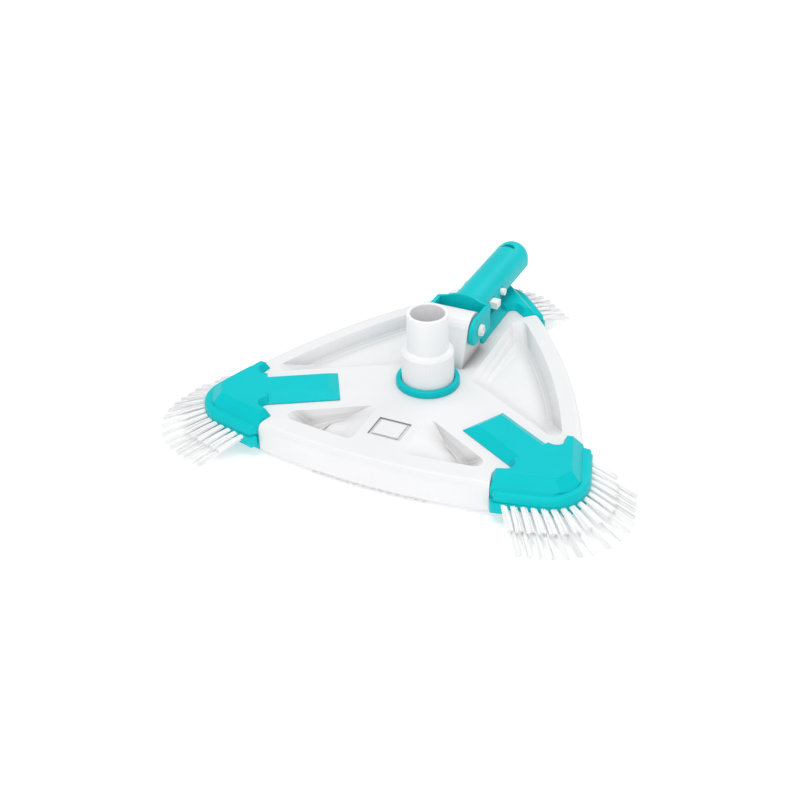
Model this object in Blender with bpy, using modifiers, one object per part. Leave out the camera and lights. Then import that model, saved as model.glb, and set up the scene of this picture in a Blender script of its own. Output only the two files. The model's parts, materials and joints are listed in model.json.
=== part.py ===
"""Manual pool vacuum head: a triangular weighted head with a turning hose spigot and a folding pole handle.

Lengths are in millimetres until finish() turns them into metres. The hub frame has its origin on the hose
spigot's axis, level with the lower edge of the covers' stems, with +Y towards the handle. A corner frame is
the same frame turned so that +X runs out along the corner: r is its X and t is its Y.
"""

import math

import bmesh
import bpy
from mathutils import Matrix, Vector

MM = 0.001

# Where the hub stands in the part's own frame.
HUB_Y = -35.793
HUB_HEIGHT = 28.5

# Plan of the head: three bowed sides that run into rounded corners.
CORNERS = {"right": -30.0, "rear": 90.0, "left": 210.0}
SIDES = {"front": -90.0, "right": 30.0, "left": 150.0}
SIDE_MIDDLE = 112.5
SIDE_RADIUS = 524.0
NOSE_RADIUS = 25.0
SIDE_STEPS = 12
NOSE_STEPS = 8

# Body shell.
BASE_Z = -24.0
SHELL_TOP = -0.8
SHELL_ROUNDING = 5.0
SKIRT = 2.9
TOP_THICKNESS = 2.8
SHELL_END_R = 118.0
GAP = 0.3
STEM_CLEARANCE = 28.6
SIDE_RIM = 15.5
RIDGE_RIM = 19.0
POCKET_ROUNDING = 6.0
POCKET_FLOOR = -12.0
POCKET_SKIN = 2.4
# How far in each ring of a pocket's wall lies, and how far down, as shares of the whole.
POCKET_CURVE = ((0.3, 0.42), (0.58, 0.78), (0.8, 0.95))
RIDGE_HALF = 20.5
DUCT_RADIUS = 22.5
DUCT_WALL = 2.6

# Base plate, inside the skirts.
PLATE_TOP = -18.0
PLATE_THICKNESS = 2.5
PLATE_EDGE = 3.3
THROAT_RADIUS = 21.5

# Corner covers.
STEM_R = 69.5
STEM_END_R = 155.0
STEM_HALF = 18.8
STEM_BEVEL = 8.0
BARB_BEVEL = 2.2
COVER_TOP = 5.7
COVER_EDGE = 0.0
NOTCH = (135.2, 18.8)
LOWER_NOTCH = (128.0, 22.3)
NOTCH_FILLET = (124.6, 23.8)
NOTCH_RADIUS = 5.2
NOTCH_STEPS = 6
FILLET_REACH = 23.5
BARB_TIP = (123.0, 33.6)
BARB_CORNER = (132.5, 43.15)
SHOULDER_Z = -3.3
# The direction into the head from its wall beside a barb.
WALL_INSIDE = Vector((-0.68, -0.733)).normalized()
FACET_WIDTH = 7.5
END_FACET_WIDTH = 2.6
COVER_WALL = 2.6
COVER_CAVITY_R = 131.0
FLANGE = 5.8
FLANGE_TOP = -3.4
FLANGE_BOTTOM = -10.2
FLANGE_END = (133.2, 42.45)
FLANGE_RAMP = 2.0

# Bristles. A tuft is a flat ribbon: half its width, and half its thickness, at the root and the tip.
STRIP_GAP = 0.6
STRIP_BOTTOM = -19.3
TUFT_ROOT = (1.9, 1.2)
TUFT_TIP = (2.7, 1.3)
LONG_TUFTS = 15
TUFT_PITCH = 7.0
TUFT_BURIED = 1.5
LONG_ROOT_Z = -16.0
LONG_TUFT = 35.5
SHORT_ROOT_Z = -12.0
SHORT_TIP_Z = -18.0
SHORT_TUFT = 20.0
# How far the outermost tufts turn, in degrees, and how soon along the row the turn builds up.
TUFT_TURN = 29.0
TURN_LENGTH = 20.0
FLOOR_Z = -HUB_HEIGHT
BASE_STRIP_HALF = 48.0
BASE_STRIP_WIDTH = 7.8
BASE_TUFTS = 14
BASE_TUFT_LEAN = 3.8

# Hose spigot.
SPIGOT_TOP = 61.4
SPIGOT_RADIUS = 16.0
SPIGOT_BORE = 13.2
COLLAR_TOP = 29.0
COLLAR_RADIUS = 20.5
STUB_RADIUS = 17.6
STUB_BOTTOM = -8.5
HUB_HOLE = 18.2
RING_RADIUS = 25.0
RING_TOP = 4.8

# Neck and pole handle. The pivot runs along X.
PIVOT_Y = 50.0
PIVOT_Z = 24.0
NECK_HALF = 17.8
NECK_TOP_RADIUS = 13.4
NECK_FRONT_Y = 26.0
HANDLE_REST_TILT = -1.5
ARM_INSIDE = 19.4
ARM_OUTSIDE = 23.0
ARM_FRONT = -15.0
ARM_BOTTOM = -9.5
ARM_TOP = 11.6
WALL_FRONT = 19.5
WALL_REAR = 22.5
TROUGH_RADIUS = 15.0
TROUGH_INSIDE = 12.6
TROUGH_SKIRT = -4.8
TROUGH_END = 130.0
BOLT_RADIUS = 3.0
BOLT_HOLE = 3.4

# Spring clip inside the handle.
LEG_INSIDE = 8.2
LEG_OUTSIDE = 10.4
LEG_HALF_HEIGHT = 4.0
LEG_PIVOT = 98.0
LEG_END = 40.5
PIN_Y = 68.5
PIN_RADIUS = 3.0
PIN_REACH = 18.3
TAB_Y = (42.0, 50.5)
TAB_HALF_HEIGHT = 2.8
TAB_REACH = 21.3

# Fasteners.
SCREW_HEAD = 3.2
SCREW_HEAD_HEIGHT = 1.6
SCREW_SHANK = 1.3
SCREW_LENGTH = 11.0
SCREW_HOLE = 1.7
BOSS_RADIUS = 4.2
COVER_SCREWS = ((137.5, 26.5), (137.5, -26.5))
SHELL_SCREW_R = (38.0, 104.0)

MATERIALS = {
    "white_plastic": ((0.86, 0.86, 0.88), 0.35, 0.0),
    "teal_plastic": ((0.02, 0.58, 0.62), 0.32, 0.0),
    "white_nylon": ((0.82, 0.83, 0.82), 0.45, 0.0),
    "bristle": ((0.9, 0.9, 0.9), 0.55, 0.0),
    "rubber": ((0.03, 0.03, 0.03), 0.6, 0.0),
    "ballast": ((0.2, 0.2, 0.21), 0.6, 1.0),
    "steel": ((0.6, 0.6, 0.6), 0.3, 1.0),
}


# ---------------------------------------------------------------- scene set-up


def clear_scene():
    for obj in list(bpy.data.objects):
        bpy.data.objects.remove(obj, do_unlink=True)


def collection(name):
    made = bpy.data.collections.new(name)
    bpy.context.scene.collection.children.link(made)
    return made


def material(name):
    if name in bpy.data.materials:
        return bpy.data.materials[name]
    colour, roughness, metallic = MATERIALS[name]
    made = bpy.data.materials.new(name)
    made.use_nodes = True
    shader = made.node_tree.nodes["Principled BSDF"]
    shader.inputs["Base Color"].default_value = (*colour, 1.0)
    shader.inputs["Roughness"].default_value = roughness
    shader.inputs["Metallic"].default_value = metallic
    made.diffuse_color = (*colour, 1.0)
    return made


clear_scene()
PARTS = collection("pool_vacuum_head")
CUTTERS = collection("cutters")
CUTTERS.hide_render = True


def empty(name, location, turn=(0.0, 0.0, 0.0), parent=None):
    made = bpy.data.objects.new(name, None)
    PARTS.objects.link(made)
    made.location = Vector(location) * MM
    made.rotation_euler = [math.radians(angle) for angle in turn]
    made.parent = parent
    return made


HUB = empty("hub_frame", (0.0, HUB_Y, HUB_HEIGHT))
CORNER_FRAMES = {
    side: empty(f"{side}_corner_frame", (0, 0, 0), (0, 0, angle), HUB) for side, angle in CORNERS.items()
}
SIDE_FRAMES = {
    side: empty(f"{side}_side_frame", (0, 0, 0), (0, 0, angle), HUB) for side, angle in SIDES.items()
}
HANDLE = empty("handle_pivot", (0.0, PIVOT_Y, PIVOT_Z), (HANDLE_REST_TILT, 0, 0), HUB)


# ---------------------------------------------------------------- mesh helpers


def finish(bm, name):
    """A mesh in metres from a bmesh in millimetres."""
    bmesh.ops.recalc_face_normals(bm, faces=bm.faces)
    bmesh.ops.scale(bm, vec=(MM, MM, MM), verts=bm.verts)
    mesh = bpy.data.meshes.new(name)
    bm.to_mesh(mesh)
    bm.free()
    mesh.shade_smooth()
    mesh.set_sharp_from_angle(angle=math.radians(30))
    return mesh


def part(name, mesh, material_name, parent, location=(0, 0, 0)):
    """A visible sub-part, placed in its parent's frame."""
    obj = bpy.data.objects.new(name, mesh)
    PARTS.objects.link(obj)
    obj.parent = parent
    obj.location = Vector(location) * MM
    if not mesh.materials:
        mesh.materials.append(material(material_name))
    return obj


def helper(name, bm_or_mesh, parent=None):
    """A cutter, or a piece that a union takes in."""
    mesh = bm_or_mesh if isinstance(bm_or_mesh, bpy.types.Mesh) else finish(bm_or_mesh, name)
    obj = bpy.data.objects.new(name, mesh)
    CUTTERS.objects.link(obj)
    obj.parent = parent
    obj.hide_render = True
    obj.display_type = "WIRE"
    return obj


def boolean(obj, other, operation):
    change = obj.modifiers.new(f"{operation.lower()}_{other.name}", "BOOLEAN")
    change.operation = operation
    change.solver = "EXACT"
    change.object = other
    return obj


def cut(obj, *others):
    for other in others:
        boolean(obj, other, "DIFFERENCE")
    return obj


def join(obj, *others):
    for other in others:
        boolean(obj, other, "UNION")
    return obj


def evaluated_mesh(obj):
    """The object's mesh with its modifiers applied, for copies to share."""
    bpy.context.view_layer.update()
    graph = bpy.context.evaluated_depsgraph_get()
    mesh = bpy.data.meshes.new_from_object(obj.evaluated_get(graph))
    mesh.name = obj.name
    return mesh


def prism(points, low, high):
    """A flat outline drawn out along Z."""
    bm = bmesh.new()
    face = bm.faces.new([bm.verts.new((x, y, low)) for x, y in points])
    raised = bmesh.ops.extrude_face_region(bm, geom=[face])["geom"]
    top = [v for v in raised if isinstance(v, bmesh.types.BMVert)]
    bmesh.ops.translate(bm, verts=top, vec=(0, 0, high - low))
    return bm


def side_prism(points, left, right):
    """An outline in the YZ plane drawn out along X."""
    bm = prism(points, left, right)
    bmesh.ops.transform(bm, matrix=Matrix(((0, 0, 1), (1, 0, 0), (0, 1, 0))).to_4x4(), verts=bm.verts)
    return bm


def box(low, high):
    bm = bmesh.new()
    bmesh.ops.create_cube(bm, size=1.0)
    low, high = Vector(low), Vector(high)
    bmesh.ops.scale(bm, vec=high - low, verts=bm.verts)
    bmesh.ops.translate(bm, vec=(low + high) / 2, verts=bm.verts)
    return bm


def rod(start, end, start_radius, end_radius=None, segments=24, bm=None):
    """A cylinder or cone between two points."""
    start, end = Vector(start), Vector(end)
    bm = bm or bmesh.new()
    turn = (end - start).to_track_quat("Z", "Y").to_matrix().to_4x4()
    bmesh.ops.create_cone(
        bm,
        cap_ends=True,
        segments=segments,
        radius1=start_radius,
        radius2=start_radius if end_radius is None else end_radius,
        depth=(end - start).length,
        matrix=Matrix.Translation((start + end) / 2) @ turn,
    )
    return bm


def loft(bm, rings):
    """Closes a solid through rings of as many points each, in order."""
    for first, second in zip(rings, rings[1:]):
        for i, vert in enumerate(first):
            following = (i + 1) % len(first)
            bm.faces.new((vert, first[following], second[following], second[i]))
    bm.faces.new(rings[0])
    bm.faces.new(rings[-1])
    bmesh.ops.recalc_face_normals(bm, faces=bm.faces)
    return bm


def slice_off(bm, point, normal):
    """Removes what lies beyond a plane from a convex solid, and closes the cut."""
    geometry = bm.verts[:] + bm.edges[:] + bm.faces[:]
    result = bmesh.ops.bisect_plane(
        bm, geom=geometry, dist=1e-5, plane_co=point, plane_no=normal, clear_outer=True
    )
    edges = [e for e in result["geom_cut"] if isinstance(e, bmesh.types.BMEdge)]
    bmesh.ops.edgenet_fill(bm, edges=edges)
    return bm


def slice_above(bm, a, b, c):
    """Removes what lies above the plane through three points."""
    a, b, c = Vector(a), Vector(b), Vector(c)
    normal = (b - a).cross(c - a).normalized()
    return slice_off(bm, a, normal if normal.z > 0 else -normal)


def turned(name, profile, material_name, parent, steps=48):
    """A solid of revolution about Z from (radius, z) points that run down its outer side."""
    bm = bmesh.new()
    verts = [bm.verts.new((radius, 0, z)) for radius, z in profile]
    for start, end in zip(verts, verts[1:] + verts[:1]):
        bm.edges.new((start, end))
    bmesh.ops.scale(bm, vec=(MM, MM, MM), verts=bm.verts)
    mesh = bpy.data.meshes.new(name)
    bm.to_mesh(mesh)
    bm.free()
    obj = part(name, mesh, material_name, parent) if material_name else helper(name, mesh, parent)
    screw = obj.modifiers.new("turn", "SCREW")
    screw.axis = "Z"
    screw.steps = steps
    screw.render_steps = steps
    screw.use_merge_vertices = True
    screw.merge_threshold = 0.00001
    screw.use_smooth_shade = True
    return obj


def arc(centre, radius, start, end, steps):
    """Points of an arc between two angles in degrees."""
    angles = [math.radians(start + (end - start) * i / steps) for i in range(steps + 1)]
    return [(centre[0] + radius * math.cos(a), centre[1] + radius * math.sin(a)) for a in angles]


def mirrored(points):
    """The outline of a shape from its upper half, which runs from the nose backwards."""
    return [(r, -t) for r, t in reversed(points)] + [(r, t) for r, t in points if abs(t) > 1e-6]


# ---------------------------------------------------------------- plan outline


def nose_centre_r():
    """How far out the corner's arc has its centre, so that it runs smoothly into both sides."""
    centre = SIDE_RADIUS - SIDE_MIDDLE
    reach = (SIDE_RADIUS - NOSE_RADIUS) ** 2 - centre**2
    return (-centre + math.sqrt(centre**2 + 4 * reach)) / 2


def tangent_angle():
    """Angle, from a corner's own direction, at which its arc ends and the side begins."""
    centre = Vector((math.cos(math.radians(60)), math.sin(math.radians(60)))) * (SIDE_MIDDLE - SIDE_RADIUS)
    direction = Vector((nose_centre_r(), 0)) - centre
    return math.degrees(math.atan2(direction.y, direction.x))


def head_outline(offset=0.0, first_corner=0.0):
    """The head's plan, grown by offset, with a corner in the first_corner direction."""
    points = []
    swing = tangent_angle()
    for corner in (0, 120, 240):
        angle = math.radians(first_corner + corner)
        nose = Vector((math.cos(angle), math.sin(angle))) * nose_centre_r()
        at = first_corner + corner
        points += arc(nose, NOSE_RADIUS + offset, at - swing, at + swing, NOSE_STEPS)
        side = math.radians(at + 60)
        centre = Vector((math.cos(side), math.sin(side))) * (SIDE_MIDDLE - SIDE_RADIUS)
        points += arc(centre, SIDE_RADIUS + offset, at + swing, at + 120 - swing, SIDE_STEPS)[1:-1]
    return points


def side_distance(s, offset=0.0):
    """How far out the side's wall is, s along it from its middle."""
    radius = SIDE_RADIUS + offset
    return SIDE_MIDDLE - SIDE_RADIUS + math.sqrt(radius**2 - s**2)


# ---------------------------------------------------------------- body shell


def line_meets_rim(angle, distance, rim):
    """Where a line beside a corner's axis, at this distance from it, meets the inner edge of the rim."""
    axis = Vector((math.cos(angle), math.sin(angle)))
    across = Vector((-axis.y, axis.x))
    centre = Vector((0, 1)) * (SIDE_MIDDLE - SIDE_RADIUS)
    offset = across * distance - centre
    half = offset.dot(axis)
    along = -half + math.sqrt(half**2 - offset.length_squared + (SIDE_RADIUS - rim) ** 2)
    return across * distance + axis * along


def round_corner(before, corner, after, radius, steps=4):
    """The points of the arc that rounds off a corner."""
    back = (before - corner).normalized()
    on = (after - corner).normalized()
    half = back.angle(on) / 2
    bisector = (back + on).normalized()
    centre = corner + bisector * radius / math.sin(half)
    start = corner + back * radius / math.tan(half) - centre
    end = corner + on * radius / math.tan(half) - centre
    points = []
    for i in range(steps + 1):
        way = start.slerp(end, i / steps) if steps else start
        points.append(centre + way.normalized() * radius)
    return points


def rim_run(start, end, rim, steps):
    """Points on the inner edge of the rim, between two places along the side."""
    places = [start + (end - start) * k / steps for k in range(steps + 1)]
    return [Vector((s, side_distance(s, -rim))) for s in places]


def side_pocket_outline(grow, share):
    """The pocket that spans a whole side, in the frame where +Y points out at the side's middle.

    share is 0 at the pocket's mouth and 1 at its floor.
    """
    rim = SIDE_RIM + 8.3 * share - grow
    stem = STEM_CLEARANCE + 16.0 * share - grow
    right = math.radians(30)
    corner = line_meets_rim(right, stem, rim)
    middle = Vector((0, stem / math.cos(right)))
    end = round_corner(middle, corner, rim_run(corner.x - 20, 0, rim, 1)[0], POCKET_ROUNDING + grow)
    other_end = [Vector((-p.x, p.y)) for p in reversed(end)]
    across = rim_run(end[-1].x - 6.0, -end[-1].x + 6.0, rim, 8)
    inner = round_corner(other_end[-1], middle, end[0], 6.0)
    return [tuple(p) for p in inner + end + across + other_end]


def ridge_pocket_outline(grow, share):
    """The pocket between a stem and the front ridge, on the ridge's right, in the same kind of frame."""
    rim = RIDGE_RIM + 6.0 * share - grow
    stem = STEM_CLEARANCE + 7.0 * share - grow
    start = RIDGE_HALF + 24.0 * share - grow
    right = math.radians(30)
    corner = line_meets_rim(right, stem, rim)
    inner_corner = Vector((start, (stem + start * math.sin(right)) / math.cos(right)))
    front_corner = rim_run(start, start, rim, 1)[0]
    near = rim_run(corner.x - 20, corner.x - 20, rim, 1)[0]
    end = round_corner(inner_corner, corner, near, POCKET_ROUNDING + grow)
    across = rim_run(end[-1].x - 4.0, start + 9.0, rim, 3)
    front = round_corner(across[-1], front_corner, inner_corner, 4.0)
    inner = round_corner(front_corner, inner_corner, corner, 4.0)
    return [tuple(p) for p in inner + end + across + front]


def pocket(name, frame, on_ridge=False, grow=0.0, flip=False):
    """The space of a pocket: a loft from its mouth, above the surface, to its sloping floor."""
    outline = ridge_pocket_outline if on_ridge else side_pocket_outline
    mouth = outline(grow, 0.0)
    floor = outline(grow, 1.0)
    deepest = POCKET_FLOOR - grow
    above = 1.0
    axis = 0 if on_ridge else 1
    near_end = min(point[axis] for point in floor)
    far_end = max(point[axis] for point in floor)

    def floor_height(point):
        """The floor rises from the rim towards the hub, or from the stem towards the ridge."""
        return deepest + 4.0 * (far_end - point[axis]) / (far_end - near_end)

    def ring_between(outline_points, share):
        heights = [SHELL_TOP + (floor_height(p) - SHELL_TOP) * share for p in floor]
        return [bm.verts.new((x, y, z)) for (x, y), z in zip(outline_points, heights)]

    bm = bmesh.new()
    rings = [
        [bm.verts.new((x, y, above)) for x, y in mouth],
        ring_between(mouth, 0.0),
        *(ring_between(outline(grow, share), depth) for share, depth in POCKET_CURVE),
        ring_between(floor, 1.0),
    ]
    loft(bm, rings)
    if flip:
        bmesh.ops.scale(bm, vec=(-1, 1, 1), verts=bm.verts)
    bmesh.ops.rotate(bm, cent=(0, 0, 0), matrix=Matrix.Rotation(math.radians(-90), 3, "Z"), verts=bm.verts)
    return helper(name, bm, frame)


def pockets(grow, label):
    made = [pocket(f"{label}_{side}", SIDE_FRAMES[side], grow=grow) for side in ("left", "right")]
    made += [
        pocket(f"{label}_front_{i}", SIDE_FRAMES["front"], True, grow, flip)
        for i, flip in enumerate((False, True))
    ]
    return made


def head_plan_in_hub(offset):
    return head_outline(offset, CORNERS["rear"])


def cover_footprint(grow, notch):
    """The plan of a cover's head in a corner frame, grown by a clearance."""
    swing = tangent_angle()
    centre = (nose_centre_r(), 0.0)
    nose = arc(centre, NOSE_RADIUS + grow, 0, swing, NOSE_STEPS // 2)
    corner = (BARB_CORNER[0] - 0.6 * grow, BARB_CORNER[1] + grow)
    side_centre = Vector((math.cos(math.radians(60)), math.sin(math.radians(60))))
    side_centre *= SIDE_MIDDLE - SIDE_RADIUS
    angle = math.degrees(math.atan2(corner[1] - side_centre.y, corner[0] - side_centre.x))
    side = arc(side_centre, SIDE_RADIUS + grow, swing, angle, 3)[1:]
    tip = (BARB_TIP[0] - grow, BARB_TIP[1] + 0.4 * grow)
    notch = (notch[0] - grow, notch[1] - 0.2 * grow)
    return mirrored(nose + side + [tip, notch])


def plate_space():
    """The room for the base plate inside the skirts."""
    return prism(head_plan_in_hub(-SKIRT), BASE_Z - 1.0, PLATE_TOP + GAP)


def hollow():
    """The shell's inside: it stops short of the corners and leaves a skin under each pocket."""
    bm = prism(head_plan_in_hub(-SKIRT), PLATE_TOP - 2.0, SHELL_TOP - TOP_THICKNESS)
    for angle in CORNERS.values():
        direction = Vector((math.cos(math.radians(angle)), math.sin(math.radians(angle)), 0))
        slice_off(bm, direction * SHELL_END_R, direction)
    return cut(helper("shell_hollow", bm, HUB), *pockets(POCKET_SKIN, "pocket_skin"))


def neck_profile():
    """The neck's side view in (Y, Z): it leans back to a rounded top about the pivot."""
    top = arc((PIVOT_Y, PIVOT_Z), NECK_TOP_RADIUS, 0, 170, 12)
    return [(PIVOT_Y + NECK_TOP_RADIUS, -2.2)] + top + [(NECK_FRONT_Y, -2.2)]


def shell_screw_places():
    """(x, y) in the hub frame of the screws that hold the shell to the base plate."""
    places = {}
    for corner, angle in CORNERS.items():
        for label, r in zip(("inner", "outer"), SHELL_SCREW_R):
            turn = math.radians(angle)
            places[f"{corner}_{label}"] = (r * math.cos(turn), r * math.sin(turn))
    return places


def build_body_shell():
    bm = prism(head_plan_in_hub(0.0), BASE_Z, SHELL_TOP)
    top_edges = [e for e in bm.edges if all(abs(v.co.z - SHELL_TOP) < 1e-6 for v in e.verts)]
    bmesh.ops.bevel(bm, geom=top_edges, offset=SHELL_ROUNDING, segments=3, profile=0.5, affect="EDGES")
    shell = part("body_shell", finish(bm, "body_shell"), "white_plastic", HUB)
    cut(shell, hollow(), helper("shell_plate_space", plate_space(), HUB))
    for side, frame in CORNER_FRAMES.items():
        space = prism(cover_footprint(GAP, NOTCH), BASE_Z - 2.0, COVER_TOP)
        under = prism(cover_footprint(GAP, LOWER_NOTCH), BASE_Z - 2.0, FLANGE_TOP + GAP)
        cut(shell, helper(f"{side}_cover_space", space, frame), helper(f"{side}_cover_under", under, frame))
    cut(shell, *pockets(0.0, "pocket"))
    join(shell, helper("neck", side_prism(neck_profile(), -NECK_HALF, NECK_HALF), HUB))
    for name, (x, y) in shell_screw_places().items():
        boss = rod((x, y, PLATE_TOP + GAP), (x, y, -2.0), BOSS_RADIUS)
        join(shell, helper(f"shell_boss_{name}", boss, HUB))
        pilot = rod((x, y, BASE_Z), (x, y, PLATE_TOP + 10.0), SCREW_HOLE)
        cut(shell, helper(f"shell_pilot_{name}", pilot, HUB))
    cut(shell, helper("hub_hole", rod((0, 0, -6.0), (0, 0, 2.0), HUB_HOLE, segments=48), HUB))
    bolt_hole = rod((-NECK_HALF - 1, PIVOT_Y, PIVOT_Z), (NECK_HALF + 1, PIVOT_Y, PIVOT_Z), BOLT_HOLE)
    cut(shell, helper("neck_hole", bolt_hole, HUB))
    cut(shell, helper("badge_recess", box((-13.0, -81.5, -2.0), (13.0, -58.7, 1.0)), HUB))


def build_badge_plate():
    """A plain blank plate in its square recess on the front ridge."""
    bm = box((-10.6, -79.1, -1.7), (10.6, -61.1, -0.4))
    top = [e for e in bm.edges if all(v.co.z > -1 for v in e.verts)]
    bmesh.ops.bevel(bm, geom=top, offset=0.6, segments=1, affect="EDGES")
    part("badge_plate", finish(bm, "badge_plate"), "white_plastic", HUB)


def build_base_plate():
    low = PLATE_TOP - PLATE_THICKNESS
    plate = part(
        "base_plate",
        finish(prism(head_plan_in_hub(-PLATE_EDGE), low, PLATE_TOP), "base_plate"),
        "white_plastic",
        HUB,
    )
    throat = rod((0, 0, low - 1), (0, 0, PLATE_TOP + 1), THROAT_RADIUS, segments=48)
    cut(plate, helper("throat", throat, HUB))
    for name, (x, y) in shell_screw_places().items():
        hole = rod((x, y, low - 1), (x, y, PLATE_TOP + 1), SCREW_HOLE, segments=16)
        cut(plate, helper(f"plate_hole_{name}", hole, HUB))
    for side, frame in CORNER_FRAMES.items():
        for i, (r, t) in enumerate(COVER_SCREWS):
            hole = rod((r, t, low - 1), (r, t, PLATE_TOP + 1), SCREW_HOLE, segments=16)
            cut(plate, helper(f"plate_hole_{side}_{i}", hole, frame))


# ---------------------------------------------------------------- corner covers


def keep_inside_slopes(bm):
    """Takes off what lies within 1 mm of the slopes above the head's walls, or beyond them."""
    for side in (-1, 1):
        edge = Vector(BARB_CORNER) + WALL_INSIDE * (FACET_WIDTH + 1.0)
        slice_off(bm, (edge.x, side * edge.y, 0), (-WALL_INSIDE.x, -side * WALL_INSIDE.y, 0))
    return bm


def roof_above_stem():
    """The arrow's stem: a low hipped plate that lies on the shell."""
    bm = box((STEM_R, -STEM_HALF, SHELL_TOP + GAP), (STEM_END_R, STEM_HALF, COVER_TOP))
    slope = COVER_TOP - COVER_EDGE
    for side in (-1, 1):
        edge = side * STEM_HALF
        inside = side * (STEM_HALF - STEM_BEVEL)
        slice_above(
            bm, (0, edge, COVER_EDGE), (10, edge, COVER_EDGE), (0, inside, COVER_EDGE + slope)
        )
    slice_above(
        bm,
        (STEM_R, 0, COVER_EDGE),
        (STEM_R, 10, COVER_EDGE),
        (STEM_R + STEM_BEVEL, 0, COVER_TOP),
    )
    return keep_inside_slopes(bm)


def inward(a, b, width):
    """A point this far inside the head from an edge's first end, square to the edge."""
    along = (Vector(b) - Vector(a)).normalized()
    across = Vector((-along.y, along.x))
    if across.x < 0:
        across = -across
    return Vector(a) + across * width


def roof_above_head(notch_side):
    """The arrow's head, hipped from every edge of one half, which the other half mirrors."""
    bm = prism(cover_footprint(0.0, NOTCH), BASE_Z, COVER_TOP)
    wall_direction = Vector((WALL_INSIDE.y, -WALL_INSIDE.x))
    side_point = Vector(BARB_CORNER) - wall_direction * 13.0
    for side in (-1, 1):
        corner = (BARB_CORNER[0], side * BARB_CORNER[1], SHOULDER_Z)
        along = (side_point.x, side * side_point.y, SHOULDER_Z)
        inside = Vector(BARB_CORNER) + WALL_INSIDE * FACET_WIDTH
        slice_above(bm, corner, along, (inside.x, side * inside.y, COVER_TOP))
        tip = (BARB_TIP[0], side * BARB_TIP[1], COVER_EDGE)
        inside = inward(BARB_TIP, BARB_CORNER, END_FACET_WIDTH)
        slice_above(bm, tip, corner, (inside.x, side * inside.y, COVER_TOP))
    nose = nose_centre_r() + NOSE_RADIUS
    slice_above(
        bm, (nose, 0, SHOULDER_Z), (nose, 5, SHOULDER_Z), (nose - FACET_WIDTH - 1.0, 0, COVER_TOP)
    )
    inside = inward(BARB_TIP, NOTCH, BARB_BEVEL)
    slice_above(
        bm,
        (BARB_TIP[0], notch_side * BARB_TIP[1], COVER_EDGE),
        (NOTCH[0], notch_side * NOTCH[1], COVER_EDGE),
        (inside.x, notch_side * inside.y, COVER_TOP),
    )
    return bm


def notch_fillet(side):
    """The rounded corner between the stem and a barb, swept about the fillet's centre."""
    edge = (Vector(NOTCH) - Vector(BARB_TIP)).normalized()
    last = math.degrees(math.atan2(edge.x, -edge.y))
    low = SHELL_TOP + GAP
    bm = bmesh.new()
    rings = []
    for k in range(NOTCH_STEPS + 1):
        angle = -90.0 + (last + 90.0) * k / NOTCH_STEPS
        far = min(FILLET_REACH, 9.0 + (FILLET_REACH - 9.0) * (last - angle) / (last + 20.0))
        across = (math.cos(math.radians(angle)), side * math.sin(math.radians(angle)))
        section = [
            (NOTCH_RADIUS, low),
            (NOTCH_RADIUS, COVER_EDGE),
            (NOTCH_RADIUS + BARB_BEVEL, COVER_TOP),
            (far, COVER_TOP),
            (far, low),
        ]
        ring = []
        for radius, z in section:
            x = NOTCH_FILLET[0] + radius * across[0]
            y = side * NOTCH_FILLET[1] + radius * across[1]
            ring.append(bm.verts.new((x, y, z)))
        rings.append(ring)
    return keep_inside_slopes(loft(bm, rings))


def flange_band(outside, low, high, end_gap):
    """A slab with the head's plan, whose ends ramp out from the wall to the brush flange's full depth."""
    bm = prism(head_outline(outside), low, high)
    backwards = Vector((-0.714, 0.700))
    outwards = Vector((0.700, 0.714))
    ramp = backwards * FLANGE + outwards * FLANGE_RAMP
    for side in (-1, 1):
        normal = Vector((ramp.x, side * ramp.y, 0)).normalized()
        point = Vector((FLANGE_END[0], side * FLANGE_END[1], 0)) - normal * end_gap
        slice_off(bm, point, normal)
        slice_off(bm, point, (backwards.x, side * backwards.y, 0))
    return slice_off(bm, (COVER_CAVITY_R - 1.0, 0, 0), (-1, 0, 0))


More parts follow.
